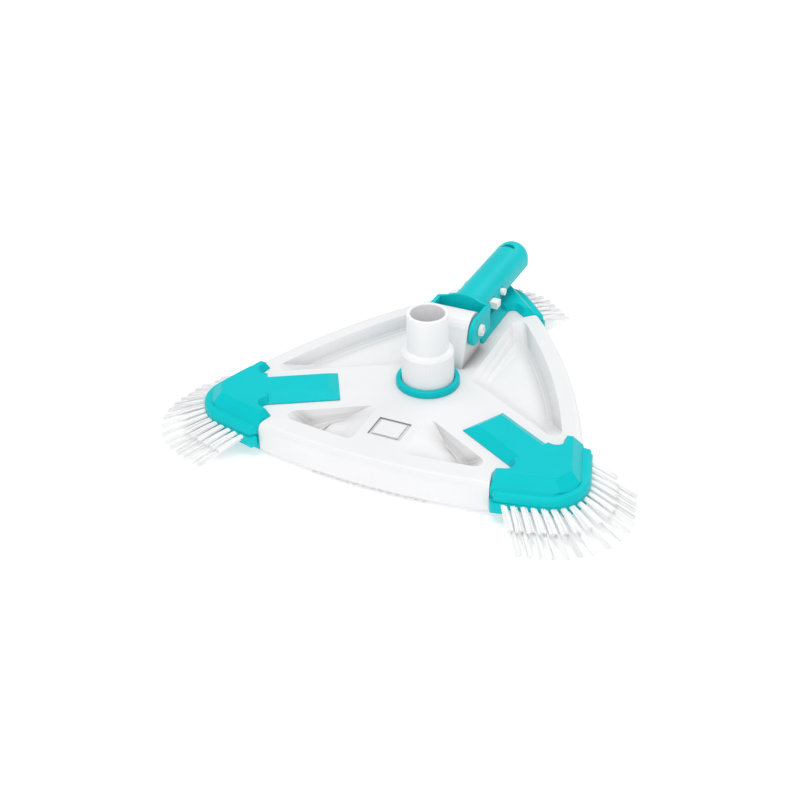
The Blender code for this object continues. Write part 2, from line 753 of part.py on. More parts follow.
def build_corner_covers():
    frame = CORNER_FRAMES["right"]
    cover = helper("cover_build", roof_above_head(1), frame)
    join(cover, helper("cover_head_mirror", roof_above_head(-1), frame))
    join(cover, helper("cover_stem", roof_above_stem(), frame))
    under_shell = prism(cover_footprint(0.0, LOWER_NOTCH), BASE_Z, SHELL_TOP - TOP_THICKNESS - GAP)
    join(cover, helper("cover_lower", under_shell, frame))
    for side in (-1, 1):
        join(cover, helper(f"cover_fillet_{side}", notch_fillet(side), frame))
    band = flange_band(FLANGE, FLANGE_BOTTOM, FLANGE_TOP, 0.0)
    top_edges = [e for e in band.edges if all(abs(v.co.z - FLANGE_TOP) < 1e-6 for v in e.verts)]
    bmesh.ops.bevel(band, geom=top_edges, offset=3.0, segments=3, profile=0.5, affect="EDGES")
    join(cover, helper("cover_flange", band, frame))
    lower = slice_off(
        prism(head_outline(-COVER_WALL), BASE_Z - 1.0, -4.5), (COVER_CAVITY_R, 0, 0), (-1, 0, 0)
    )
    upper = slice_off(prism(head_outline(-12.5), -7.0, 2.6), (COVER_CAVITY_R + 3, 0, 0), (-1, 0, 0))
    cut(cover, helper("cover_cavity", lower, frame), helper("cover_upper_cavity", upper, frame))
    plate_room = prism(head_outline(-SKIRT), BASE_Z - 1.0, PLATE_TOP + GAP)
    cut(cover, helper("cover_plate_space", plate_room, frame))
    for i, (r, t) in enumerate(COVER_SCREWS):
        boss = rod((r, t, PLATE_TOP + GAP), (r, t, -3.0), BOSS_RADIUS)
        join(cover, helper(f"cover_boss_{i}", boss, frame))
        pilot = rod((r, t, BASE_Z), (r, t, PLATE_TOP + 10.0), SCREW_HOLE)
        cut(cover, helper(f"cover_pilot_{i}", pilot, frame))
    mesh = evaluated_mesh(cover)
    for side, corner_frame in CORNER_FRAMES.items():
        part(f"{side}_corner_cover", mesh, "teal_plastic", corner_frame)


def build_weights():
    """A cast ballast block under each cover."""
    bm = prism(head_outline(-COVER_WALL - 1.0), PLATE_TOP + GAP, -6.4)
    slice_off(bm, (COVER_CAVITY_R + 1.0, 0, 0), (-1, 0, 0))
    for side in (-1, 1):
        slice_off(bm, (0, side * 21.2, 0), (0, side, 0))
    mesh = finish(bm, "weight")
    for side, frame in CORNER_FRAMES.items():
        part(f"{side}_weight", mesh, "ballast", frame)


# ---------------------------------------------------------------- bristles


def flange_walk(distance, offset):
    """The place on the flange's face, or this far off the wall, at this distance along it from the nose."""
    swing = math.radians(tangent_angle())
    arc_length = swing * (NOSE_RADIUS + FLANGE)
    side = 1 if distance >= 0 else -1
    run = abs(distance)
    angle = min(run / (NOSE_RADIUS + FLANGE), swing)
    outward = Vector((math.cos(angle), math.sin(angle)))
    place = Vector((nose_centre_r(), 0)) + outward * (NOSE_RADIUS + offset)
    if run > arc_length:
        place += Vector((-outward.y, outward.x)) * (run - arc_length)
    return Vector((place.x, side * place.y))


def add_tuft(bm, distance, root_z, tip_z, length):
    """A flat ribbon of bristles that leaves the strip at a slant and droops to its tip."""
    place = flange_walk(distance, FLANGE - TUFT_BURIED)
    turn = math.radians(math.copysign(TUFT_TURN * (1 - math.exp(-abs(distance) / TURN_LENGTH)), distance))
    direction = Vector((math.cos(turn), math.sin(turn), 0))
    across = Vector((-direction.y, direction.x, 0))
    start = Vector((place.x, place.y, root_z))
    end = start + direction * (length + TUFT_BURIED)
    end.z = tip_z
    upwards = (end - start).normalized().cross(across)
    ends = []
    for centre, (half_width, half_depth) in ((start, TUFT_ROOT), (end, TUFT_TIP)):
        ring = []
        for k in range(8):
            angle = 2 * math.pi * (k + 0.5) / 8
            offset = across * half_width * math.cos(angle) + upwards * half_depth * math.sin(angle)
            ring.append(bm.verts.new(centre + offset))
        ends.append(ring)
    loft(bm, ends)


def build_side_brushes():
    frame = CORNER_FRAMES["right"]
    high = FLANGE_BOTTOM - GAP
    strip = helper("strip_build", flange_band(FLANGE, STRIP_BOTTOM, high, 0.4), frame)
    inside = prism(head_outline(STRIP_GAP), STRIP_BOTTOM - 1, high + 1)
    cut(strip, helper("strip_inside", inside, frame))
    bm = bmesh.new()
    for i in range(LONG_TUFTS):
        distance = (i - (LONG_TUFTS - 1) / 2) * TUFT_PITCH
        add_tuft(bm, distance, LONG_ROOT_Z, FLOOR_Z + 1.4, LONG_TUFT)
    for i in range(LONG_TUFTS + 1):
        distance = (i - LONG_TUFTS / 2) * TUFT_PITCH
        add_tuft(bm, distance, SHORT_ROOT_Z, SHORT_TIP_Z, SHORT_TUFT)
    join(strip, helper("tufts", bm, frame))
    mesh = evaluated_mesh(strip)
    for side, corner_frame in CORNER_FRAMES.items():
        part(f"{side}_side_brush", mesh, "bristle", corner_frame)


def build_base_brushes():
    """The trimmed strips under the three sides, in a frame whose +X points out of the side."""
    frame = SIDE_FRAMES["front"]
    outside = -SKIRT - 0.5
    low = BASE_Z + 0.4
    high = PLATE_TOP - PLATE_THICKNESS - GAP
    band = prism(head_outline(outside, 60.0), low, high)
    for side in (-1, 1):
        slice_off(band, (0, side * BASE_STRIP_HALF, 0), (0, side, 0))
    slice_off(band, (0, 0, 0), (-1, 0, 0))
    strip = helper("base_strip_build", band, frame)
    inside = prism(head_outline(outside - BASE_STRIP_WIDTH, 60.0), low - 1, high + 1)
    cut(strip, helper("base_strip_inside", inside, frame))
    bm = bmesh.new()
    pitch = 2 * (BASE_STRIP_HALF - 3.0) / (BASE_TUFTS - 1)
    for row, (count, inset) in enumerate(((BASE_TUFTS, 2.8), (BASE_TUFTS - 1, 6.0))):
        for i in range(count):
            s = (i - (count - 1) / 2) * pitch
            n = side_distance(s, outside - inset)
            rod((n, s, low + 1.0), (n + BASE_TUFT_LEAN, s, FLOOR_Z + 1.0), 1.4, 1.7, segments=6, bm=bm)
    join(strip, helper("base_tufts", bm, frame))
    mesh = evaluated_mesh(strip)
    for side, side_frame in SIDE_FRAMES.items():
        part(f"{side}_base_brush", mesh, "bristle", side_frame)


# ---------------------------------------------------------------- hose spigot


def build_spigot():
    """The stepped tube that the hose pushes on to, free to turn in the hub."""
    groove_top = SHELL_TOP - 0.1
    groove_bottom = SHELL_TOP - 2.9
    profile = [
        (SPIGOT_RADIUS - 0.8, SPIGOT_TOP),
        (SPIGOT_RADIUS, SPIGOT_TOP - 0.8),
        (SPIGOT_RADIUS, COLLAR_TOP + 2.2),
        (COLLAR_RADIUS - 1.6, COLLAR_TOP + 0.9),
        (COLLAR_RADIUS, COLLAR_TOP - 1.2),
        (COLLAR_RADIUS, 0.7),
        (STUB_RADIUS, 0.7),
        (STUB_RADIUS, groove_top),
        (STUB_RADIUS - 2.0, groove_top),
        (STUB_RADIUS - 2.0, groove_bottom),
        (STUB_RADIUS, groove_bottom),
        (STUB_RADIUS, STUB_BOTTOM),
        (SPIGOT_BORE, STUB_BOTTOM),
        (SPIGOT_BORE, SPIGOT_TOP - 0.8),
        (SPIGOT_BORE + 0.8, SPIGOT_TOP),
    ]
    turned("hose_spigot", profile, "white_plastic", HUB)


def build_spigot_fittings():
    ring = [
        (RING_RADIUS - 1.6, RING_TOP),
        (RING_RADIUS - 0.4, RING_TOP - 0.6),
        (RING_RADIUS, RING_TOP - 1.8),
        (RING_RADIUS, SHELL_TOP + GAP),
        (COLLAR_RADIUS + 0.4, SHELL_TOP + GAP),
        (COLLAR_RADIUS + 0.4, RING_TOP - 0.7),
        (COLLAR_RADIUS + 1.0, RING_TOP),
    ]
    turned("spigot_ring", ring, "teal_plastic", HUB)
    retainer = [
        (DUCT_RADIUS - 1.0, -4.0),
        (DUCT_RADIUS - 1.0, -7.8),
        (STUB_RADIUS + 0.3, -7.8),
        (STUB_RADIUS + 0.3, -4.0),
    ]
    turned("spigot_retainer", retainer, "white_nylon", HUB)
    top = SHELL_TOP - TOP_THICKNESS - GAP
    duct = [
        (DUCT_RADIUS + DUCT_WALL, top),
        (DUCT_RADIUS + DUCT_WALL, PLATE_TOP + GAP),
        (DUCT_RADIUS, PLATE_TOP + GAP),
        (DUCT_RADIUS, top),
    ]
    turned("suction_duct", duct, "white_plastic", HUB, steps=40)
    section = arc((STUB_RADIUS - 0.85, SHELL_TOP - 1.5), 0.85, 90, -270, 10)[:-1]
    turned("spigot_o_ring", section, "rubber", HUB, steps=40)


# ---------------------------------------------------------------- pole handle


def capsule(radius, start, end, skirt):
    """Half a round-ended bar along +Y, above z = 0, with straight sides down to the skirt."""
    steps = 10
    profile = [(0.0, start), (radius, start)] + [
        (radius * math.cos(a), end + radius * math.sin(a))
        for a in [math.radians(90 * i / steps) for i in range(steps + 1)]
    ]
    bm = bmesh.new()
    verts = [bm.verts.new((r, y, 0)) for r, y in profile]
    edges = [bm.edges.new(pair) for pair in zip(verts, verts[1:])]
    bmesh.ops.spin(
        bm, geom=verts + edges, cent=(0, 0, 0), axis=(0, -1, 0), angle=math.pi, steps=20, use_duplicate=False
    )
    bmesh.ops.remove_doubles(bm, verts=bm.verts, dist=0.001)
    rim = [e for e in bm.edges if e.is_boundary]
    bmesh.ops.edgenet_fill(bm, edges=rim)
    base = max((f for f in bm.faces if all(abs(v.co.z) < 1e-4 for v in f.verts)), key=lambda f: f.calc_area())
    lowered = bmesh.ops.extrude_face_region(bm, geom=[base])["geom"]
    if base.is_valid and base in bm.faces[:]:
        bmesh.ops.delete(bm, geom=[base], context="FACES_ONLY")
    bottom = [v for v in lowered if isinstance(v, bmesh.types.BMVert)]
    bmesh.ops.translate(bm, verts=bottom, vec=(0, 0, skirt))
    return bm


def arm_profile():
    """An arm's side view in (Y, Z), about the pivot."""
    rounding = 7.0
    front_bottom = arc((ARM_FRONT + rounding, ARM_BOTTOM + rounding), rounding, 180, 270, 5)
    front_top = arc((ARM_FRONT + 11.0, ARM_TOP - 11.0), 11.0, 90, 180, 6)
    return front_top + front_bottom + [(WALL_REAR, ARM_BOTTOM), (WALL_REAR, ARM_TOP)]


def build_pole_handle():
    bm = capsule(TROUGH_RADIUS, WALL_FRONT + 1.0, TROUGH_END, TROUGH_SKIRT)
    handle = part("pole_handle", finish(bm, "pole_handle"), "teal_plastic", HANDLE)
    inside = capsule(TROUGH_INSIDE, WALL_REAR, TROUGH_END, TROUGH_SKIRT - 1)
    cut(handle, helper("trough_inside", inside, HANDLE))
    for side in (-1, 1):
        inside, outside = sorted((side * ARM_INSIDE, side * ARM_OUTSIDE))
        join(handle, helper(f"arm_{side}", side_prism(arm_profile(), inside, outside), HANDLE))
    half = ARM_OUTSIDE - 0.2
    top = arc((0.0, -14.0), 31.0, 62, 118, 6)
    wall = [(-half, ARM_BOTTOM), (half, ARM_BOTTOM), (half, ARM_TOP - 0.2)] + top + [(-half, ARM_TOP - 0.2)]
    bm = prism(wall, WALL_FRONT, WALL_REAR)
    stand = Matrix(((1, 0, 0), (0, 0, 1), (0, 1, 0))).to_4x4()
    bmesh.ops.transform(bm, matrix=stand, verts=bm.verts)
    join(handle, helper("cross_wall", bm, HANDLE))
    for side in (-1, 1):
        shoulder = [
            (side * (TROUGH_RADIUS - 2.0), WALL_FRONT + 1.0),
            (side * (ARM_OUTSIDE - 0.4), WALL_FRONT + 1.0),
            (side * (ARM_OUTSIDE - 0.4), WALL_REAR + 0.5),
            (side * (TROUGH_RADIUS + 3.4), WALL_REAR + 4.0),
            (side * (TROUGH_RADIUS + 0.8), WALL_REAR + 9.0),
            (side * (TROUGH_RADIUS - 0.4), WALL_REAR + 16.0),
            (side * (TROUGH_RADIUS - 2.0), WALL_REAR + 16.0),
        ]
        join(handle, helper(f"shoulder_{side}", prism(shoulder, TROUGH_SKIRT + 0.2, 6.0), HANDLE))
    reach = ARM_OUTSIDE + 2
    cut(handle, helper("arm_holes", rod((-reach, 0, 0), (reach, 0, 0), BOLT_HOLE), HANDLE))
    pin_holes = rod((-reach, PIN_Y, 0), (reach, PIN_Y, 0), PIN_RADIUS + 1.0)
    cut(handle, helper("pin_holes", pin_holes, HANDLE))
    height = TAB_HALF_HEIGHT + 0.8
    slots = box((-reach, TAB_Y[0] - 2.2, -height), (reach, TAB_Y[1] + 2.2, height))
    cut(handle, helper("tab_slots", slots, HANDLE))
    hang = arc((0.0, 121.0), 5.6, 0, 180, 10)
    cut(handle, helper("hang_hole", prism(hang, 0.0, TROUGH_RADIUS + 2), HANDLE))


def build_pivot():
    head = ARM_OUTSIDE + GAP
    bolt = part(
        "pivot_bolt",
        finish(rod((-ARM_OUTSIDE - 6.0, 0, 0), (head + 0.2, 0, 0), BOLT_RADIUS), "pivot_bolt"),
        "white_nylon",
        HANDLE,
    )
    join(bolt, helper("bolt_head", rod((head, 0, 0), (head + 2.6, 0, 0), 5.0, 4.5, segments=28), HANDLE))
    slot = box((head + 1.4, -6.0, -0.55), (head + 4.0, 6.0, 0.55))
    bmesh.ops.rotate(slot, cent=(0, 0, 0), matrix=Matrix.Rotation(math.radians(12), 3, "X"), verts=slot.verts)
    cut(bolt, helper("bolt_slot", slot, HANDLE))
    nut = part(
        "pivot_nut",
        finish(rod((-head - 4.0, 0, 0), (-head, 0, 0), 5.6, segments=6), "pivot_nut"),
        "white_nylon",
        HANDLE,
    )
    nut_hole = rod((-head - 6, 0, 0), (-head + 2, 0, 0), BOLT_RADIUS + GAP)
    cut(nut, helper("nut_hole", nut_hole, HANDLE))


def build_spring_clip():
    """The one-piece plastic spring clip, with its bend and its two sprung legs as separate nodes."""
    outer = arc((0.0, LEG_PIVOT), LEG_OUTSIDE, 0, 180, 14)
    inner = arc((0.0, LEG_PIVOT), LEG_INSIDE, 180, 0, 14)
    bend = prism(outer + inner, -LEG_HALF_HEIGHT, LEG_HALF_HEIGHT)
    part("clip_bend", finish(bend, "clip_bend"), "white_nylon", HANDLE)
    for name, side in (("left", -1), ("right", 1)):
        middle = side * (LEG_INSIDE + LEG_OUTSIDE) / 2
        leg_frame = empty(f"clip_leg_{name}_pivot", (middle, LEG_PIVOT, 0), parent=HANDLE)
        half = (LEG_OUTSIDE - LEG_INSIDE) / 2
        low = (-half, LEG_END - LEG_PIVOT, -LEG_HALF_HEIGHT)
        high = (half, -GAP, LEG_HALF_HEIGHT)
        leg = part(f"clip_leg_{name}", finish(box(low, high), f"clip_leg_{name}"), "white_nylon", leg_frame)
        y = PIN_Y - LEG_PIVOT
        pin = rod((0, y, 0), (side * PIN_REACH - middle, y, 0), PIN_RADIUS)
        join(leg, helper(f"pin_{name}", pin, leg_frame))
        ends = sorted((0.0, side * TAB_REACH - middle))
        low = (ends[0], TAB_Y[0] - LEG_PIVOT, -TAB_HALF_HEIGHT)
        high = (ends[1], TAB_Y[1] - LEG_PIVOT, TAB_HALF_HEIGHT)
        join(leg, helper(f"tab_{name}", box(low, high), leg_frame))


# ---------------------------------------------------------------- fasteners


def build_screws():
    """Pan-head screws that go up through the base plate."""
    low = PLATE_TOP - PLATE_THICKNESS
    screw = helper("screw_build", rod((0, 0, -0.3), (0, 0, SCREW_LENGTH), SCREW_SHANK, segments=12))
    join(screw, helper("screw_head", rod((0, 0, -SCREW_HEAD_HEIGHT - GAP), (0, 0, -GAP), 2.6, SCREW_HEAD)))
    for turn in (0, 90):
        slot = box((-2.0, -0.4, -SCREW_HEAD_HEIGHT - 1.0), (2.0, 0.4, -SCREW_HEAD_HEIGHT + 0.5))
        spin = Matrix.Rotation(math.radians(turn), 3, "Z")
        bmesh.ops.rotate(slot, cent=(0, 0, 0), matrix=spin, verts=slot.verts)
        cut(screw, helper(f"screw_cross_{turn}", slot))
    mesh = evaluated_mesh(screw)
    for name, (x, y) in shell_screw_places().items():
        part(f"shell_screw_{name}", mesh, "steel", HUB, (x, y, low))
    for side, frame in CORNER_FRAMES.items():
        for label, (r, t) in zip("ab", COVER_SCREWS):
            part(f"cover_screw_{side}_{label}", mesh, "steel", frame, (r, t, low))


build_body_shell()
build_badge_plate()
build_base_plate()
build_corner_covers()
build_weights()
build_side_brushes()
build_base_brushes()
build_spigot()
build_spigot_fittings()
build_pole_handle()
build_pivot()
build_spring_clip()
build_screws()
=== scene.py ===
"""Looks for the pool vacuum head: moulded plastics, bristles, studio floor, light and camera."""

import json
import math
import random

import bmesh
import bpy
from mathutils import Matrix, Vector


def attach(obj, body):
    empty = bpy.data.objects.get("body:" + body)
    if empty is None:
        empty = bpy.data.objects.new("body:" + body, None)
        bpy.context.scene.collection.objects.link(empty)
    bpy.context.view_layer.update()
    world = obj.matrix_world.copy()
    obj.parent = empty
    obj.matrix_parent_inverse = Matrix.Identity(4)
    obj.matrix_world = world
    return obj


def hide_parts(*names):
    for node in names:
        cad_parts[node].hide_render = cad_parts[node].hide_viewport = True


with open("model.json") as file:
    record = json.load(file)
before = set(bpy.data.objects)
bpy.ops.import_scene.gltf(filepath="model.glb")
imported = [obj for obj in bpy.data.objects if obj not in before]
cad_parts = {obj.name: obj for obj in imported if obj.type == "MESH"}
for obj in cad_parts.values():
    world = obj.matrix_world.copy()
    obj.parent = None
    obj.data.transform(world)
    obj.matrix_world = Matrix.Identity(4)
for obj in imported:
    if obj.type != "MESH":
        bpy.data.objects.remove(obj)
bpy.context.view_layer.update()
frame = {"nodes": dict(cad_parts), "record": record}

MM = 0.001

# The hub, from which the head is laid out: a point on the spigot's axis, in millimetres in the row frame.
HUB = Vector((0.0, -35.793, 28.5))
# The direction of each corner and of each side's middle, seen from the hub.
CORNERS = {"right": -30.0, "rear": 90.0, "left": 210.0}
SIDES = {"front": -90.0, "right": 30.0, "left": 150.0}

# Plan of the head, as the CAD has it: wide arcs for the sides, and at each corner a round nose that runs on
# straight. The flange's face stands FLANGE off the wall, and is FLANGE_RAMP shorter there at each end.
SIDE_MIDDLE = 112.5
SIDE_RADIUS = 524.0
NOSE_CENTRE = 143.54
NOSE_RADIUS = 25.0
WALL_TURN = 45.58
FLANGE = 5.8
FLANGE_RUN = 38.6
FLANGE_RAMP = 2.0

# Levels, from the hub.
FLANGE_BOTTOM = -10.2
STRIP_BOTTOM = -19.3
BASE_Z = -24.0
FLOOR_Z = -28.5

# The side brushes' strip: its gap under the flange, and its back face's distance off the wall.
STRIP_GAP = 0.15
STRIP_BACK = 0.6

# Side brush tufts. They fan out by up to TUFT_TURN degrees, and TURN_LENGTH says how soon.
LONG_TUFTS = 15
TUFT_PITCH = 7.0
TUFT_TURN = 29.0
TURN_LENGTH = 20.0
TUFT_BURIED = 1.5
TUFT_BOW = 0.8
LONG_ROOT_Z = -16.0
LONG_TIP_Z = FLOOR_Z + 1.6
LONG_TUFT = 35.5
SHORT_ROOT_Z = -12.0
SHORT_TIP_Z = -18.0
SHORT_TUFT = 20.0

# Half the width and half the thickness of a side brush tuft, and the filaments in it.
TUFT_ROOT = (2.1, 1.2)
TUFT_TIP = (2.9, 1.3)
FILAMENTS = 84
FILAMENT_RADIUS = 0.24

# One filament, in any brush.
FILAMENT_SIDES = 5
FILAMENT_END = 0.86
END_SCATTER = 0.008
LEAST_END_SCATTER = 0.1
BOW_LOW = 0.7
BOW_HIGH = 1.0
MIDDLE_AT = 0.55
MIDDLE_RISE = 0.6
QUARTER_RISE = 0.2

# Base brushes: a curved strip under each side, with two rows of upright tufts.
BASE_STRIP_HALF = 48.0
BASE_STRIP_OUTSIDE = -3.4
BASE_STRIP_WIDTH = 7.8
BASE_STRIP_TOP = -20.8
BASE_STRIP_LOW = -23.6
BASE_TUFTS = 14
BASE_OUTER_ROW = 2.8
BASE_INNER_ROW = 6.0
BASE_END_MARGIN = 3.0
BASE_TUFT_LEAN = 3.8
BASE_TUFT_BURIED = 1.5
BASE_TUFT_CLEAR = 0.4
BASE_TUFT_ROOT = (1.4, 1.4)
BASE_TUFT_TIP = (1.9, 1.9)
BASE_FILAMENTS = 44
BASE_FILAMENT_RADIUS = 0.22

# Smoothness of the curved strips, and the angles over which an edge stays sharp.
ARC_STEPS = 24
PIECE_SHARP = 35
NODE_SHARP = 32

# Shader settings: the range that most of a noise lies in, and the occlusion of open and of shut-in places,
# between which the painted shade in hollows grows to full.
NOISE_LOW = 0.3
NOISE_HIGH = 0.7
HOLLOW_OPEN = 0.95
HOLLOW_SHUT = 0.45
RAYS = 6

# Studio, in metres.
FLOOR_HALF = 6.0
FLOOR_DROP = 0.0002
FLOOR_GLOW = 0.33
SKY_STRENGTH = 0.55

# Camera: degrees, then millimetres. The near limit is in metres.
AZIMUTH = 25.63
ELEVATION = 33.85
ROLL = -1.24
DISTANCE = 1008.35
AIM_RIGHT = -21.82
AIM_UP = -15.20
LENS = 58.08
SENSOR = 36.0
CLIP_START = 0.01


# ---------------------------------------------------------------- materials


class Shader:
    """A material's node tree, with short calls for the few nodes that the finishes share."""

    def __init__(self, name):
        self.material = bpy.data.materials.new(name)
        self.material.use_nodes = True
        self.tree = self.material.node_tree
        self.principled = self.tree.nodes["Principled BSDF"]
        self.coordinates = self.tree.nodes.new("ShaderNodeTexCoord")

    def set(self, **sockets):
        for socket, value in sockets.items():
            self.principled.inputs[socket.replace("_", " ")].default_value = value

    def link(self, output, target):
        self.tree.links.new(output, target)

    def noise(self, scale, detail=3.0, roughness=0.55):
        texture = self.tree.nodes.new("ShaderNodeTexNoise")
        texture.inputs["Scale"].default_value = scale
        texture.inputs["Detail"].default_value = detail
        texture.inputs["Roughness"].default_value = roughness
        self.link(self.coordinates.outputs["Object"], texture.inputs["Vector"])
        return texture.outputs["Fac"]

    def ramp(self, source, low, high):
        """A number from low to high over the range that most of a noise lies in."""
        spread = self.tree.nodes.new("ShaderNodeMapRange")
        spread.inputs["From Min"].default_value = NOISE_LOW
        spread.inputs["From Max"].default_value = NOISE_HIGH
        spread.inputs["To Min"].default_value = low
        spread.inputs["To Max"].default_value = high
        self.link(source, spread.inputs["Value"])
        return spread.outputs["Result"]

    def colour_between(self, source, first, second):
        mix = self.tree.nodes.new("ShaderNodeMix")
        mix.data_type = "RGBA"
        mix.inputs["A"].default_value = (*first, 1.0)
        mix.inputs["B"].default_value = (*second, 1.0)
        self.link(source, mix.inputs["Factor"])
        self.link(mix.outputs["Result"], self.principled.inputs["Base Color"])

    def mottle(self, source, first, second):
        """The full run from one colour to the other."""
        self.colour_between(self.ramp(source, 0.0, 1.0), first, second)

    def paint_hollow_shade(self, reach_mm, shade_tint):
        """Painted shade: darkens the base colour where nearby faces of the same piece shut out the light.
        """
        hollow = self.tree.nodes.new("ShaderNodeAmbientOcclusion")
        hollow.samples = RAYS
        hollow.only_local = True
        hollow.inputs["Distance"].default_value = reach_mm * MM
        blend = self.tree.nodes.new("ShaderNodeMix")
        blend.data_type = "RGBA"
        blend.blend_type = "MULTIPLY"
        blend.inputs["B"].default_value = (*shade_tint, 1.0)
        amount = self.tree.nodes.new("ShaderNodeMapRange")
        amount.inputs["From Min"].default_value = HOLLOW_OPEN
        amount.inputs["From Max"].default_value = HOLLOW_SHUT
        self.link(hollow.outputs["AO"], amount.inputs["Value"])
        self.link(amount.outputs["Result"], blend.inputs["Factor"])
        base = self.principled.inputs["Base Color"]
        self.link(base.links[0].from_socket, blend.inputs["A"])
        self.link(blend.outputs["Result"], base)

    def rounded_edges(self, radius_mm):
        bevel = self.tree.nodes.new("ShaderNodeBevel")
        bevel.samples = RAYS
        bevel.inputs["Radius"].default_value = radius_mm * MM
        return bevel.outputs["Normal"]

    def bump(self, height, strength, distance_mm, normal=None):
        node = self.tree.nodes.new("ShaderNodeBump")
        node.inputs["Strength"].default_value = strength
        node.inputs["Distance"].default_value = distance_mm * MM
        self.link(height, node.inputs["Height"])
        if normal is not None:
            self.link(normal, node.inputs["Normal"])
        return node.outputs["Normal"]

    def finish_normal(self, normal):
        self.link(normal, self.principled.inputs["Normal"])

    def roughness(self, source, low, high):
        self.link(self.ramp(source, low, high), self.principled.inputs["Roughness"])


def moulded_plastic(name, colour, shade, rough, grain, edge_mm, glow=0.0, shine=0.5):
    """Injection-moulded plastic: faint tone changes, fine grain, slow waviness and soft edges."""
    made = Shader(name)
    made.mottle(made.noise(14.0, 4.0), colour, shade)
    made.roughness(made.noise(60.0, 6.0, 0.65), rough[0], rough[1])
    normal = made.rounded_edges(edge_mm)
    normal = made.bump(made.noise(2600.0, 2.0, 0.7), strength=grain, distance_mm=0.05, normal=normal)
    normal = made.bump(made.noise(38.0, 2.0), strength=0.08, distance_mm=0.6, normal=normal)
    made.finish_normal(normal)
    made.set(IOR=1.49, Specular_IOR_Level=shine)
    made.set(Subsurface_Weight=glow, Subsurface_Radius=(0.0016, 0.0016, 0.0016))
    return made


def bristle_nylon():
    """Extruded nylon filament: pale, a little see-through, with faint tone changes."""
    made = Shader("bristle_nylon")
    made.mottle(made.noise(420.0, 3.0, 0.6), (0.97, 0.97, 0.97), (0.92, 0.925, 0.93))
    made.roughness(made.noise(900.0, 2.0), 0.38, 0.55)
    made.finish_normal(made.bump(made.noise(1500.0, 2.0), strength=0.1, distance_mm=0.03))
    made.set(IOR=1.53, Sheen_Weight=0.15)
    made.set(Subsurface_Weight=0.25, Subsurface_Radius=(0.002, 0.002, 0.002))
    return made.material


def rubber():
    """The O-ring's black rubber, with a dull, uneven skin."""
    made = Shader("black_rubber")
    made.mottle(made.noise(90.0, 4.0), (0.02, 0.02, 0.02), (0.045, 0.045, 0.045))
    made.roughness(made.noise(200.0, 4.0), 0.5, 0.7)
    normal = made.rounded_edges(0.2)
    normal = made.bump(made.noise(1200.0, 3.0), strength=0.2, distance_mm=0.05, normal=normal)
    made.finish_normal(normal)
    made.set(IOR=1.52)
    return made.material


def ballast_iron():
    """Rough cast iron for the weights."""
    made = Shader("ballast_iron")
    made.mottle(made.noise(120.0, 6.0), (0.12, 0.12, 0.13), (0.23, 0.22, 0.22))
    made.roughness(made.noise(260.0, 5.0), 0.45, 0.75)
    normal = made.rounded_edges(0.6)
    normal = made.bump(made.noise(500.0, 6.0, 0.7), strength=0.5, distance_mm=0.25, normal=normal)
    made.finish_normal(normal)
    made.set(Metallic=0.7)
    return made.material


def stainless_steel():
    """Turned stainless steel for the screws."""
    made = Shader("stainless_steel")
    made.mottle(made.noise(300.0, 3.0), (0.62, 0.62, 0.61), (0.52, 0.52, 0.53))
    made.roughness(made.noise(700.0, 4.0), 0.22, 0.4)
    normal = made.rounded_edges(0.15)
    normal = made.bump(made.noise(1600.0, 2.0), strength=0.1, distance_mm=0.02, normal=normal)
    made.finish_normal(normal)
    made.set(Metallic=1.0)
    return made.material


def white_plastic():
    """The head's white plastic, with painted shade down in its pockets."""
    made = moulded_plastic(
        "white_plastic",
        colour=(0.82, 0.82, 0.83),
        shade=(0.79, 0.79, 0.80),
        rough=(0.34, 0.46),
        grain=0.12,
        edge_mm=0.9,
        glow=0.06,
    )
    # Painted shade: the white darkens where the pockets' walls and other nearby faces shut out the light.
    made.paint_hollow_shade(reach_mm=14.0, shade_tint=(0.34, 0.32, 0.31))
    return made.material


WHITE = white_plastic()
# Painted light: a brighter copy of the white plastic, standing in for the light on the spigot's faces.
SPIGOT_PAINTED_LIGHT = moulded_plastic(
    "spigot_painted_light",
    colour=(0.90, 0.90, 0.91),
    shade=(0.87, 0.87, 0.88),
    rough=(0.3, 0.4),
    grain=0.06,
    edge_mm=0.6,
    glow=0.06,
).material
TEAL = moulded_plastic(
    "teal_plastic",
    colour=(0.001, 0.56, 0.59),
    shade=(0.001, 0.52, 0.56),
    rough=(0.3, 0.42),
    grain=0.08,
    edge_mm=0.9,
    shine=0.1,
).material
NYLON = moulded_plastic(
    "white_nylon",
    colour=(0.86, 0.87, 0.87),
    shade=(0.80, 0.81, 0.81),
    rough=(0.4, 0.52),
    grain=0.1,
    edge_mm=0.3,
    glow=0.15,
).material
BRISTLE = bristle_nylon()
RUBBER = rubber()
BALLAST = ballast_iron()
STEEL = stainless_steel()

FINISHES = {
    "white_plastic": WHITE,
    "teal_plastic": TEAL,
    "white_nylon": NYLON,
    "bristle": BRISTLE,
    "rubber": RUBBER,
    "ballast": BALLAST,
    "steel": STEEL,
}


# ---------------------------------------------------------------- mesh helpers


def hub_matrix(angle):
    """From a corner or side frame, in millimetres, to the row frame in metres."""
    scale = Matrix.Scale(MM, 4)
    return scale @ Matrix.Translation(HUB) @ Matrix.Rotation(math.radians(angle), 4, "Z")


def piece(name, mesh, material, body, angle):
    """An object in the corner or side frame at this angle, riding on the body. Pieces may share a mesh."""
    obj = bpy.data.objects.new(name, mesh)
    bpy.context.scene.collection.objects.link(obj)
    if not mesh.materials:
        mesh.materials.append(material)
    obj.matrix_world = hub_matrix(angle)
    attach(obj, body)
    return obj


def mesh_from(bm, name, smooth=True):
    bmesh.ops.recalc_face_normals(bm, faces=bm.faces)
    mesh = bpy.data.meshes.new(name)
    bm.to_mesh(mesh)
    bm.free()
    if smooth:
        mesh.shade_smooth()
        mesh.set_sharp_from_angle(angle=math.radians(PIECE_SHARP))
    return mesh


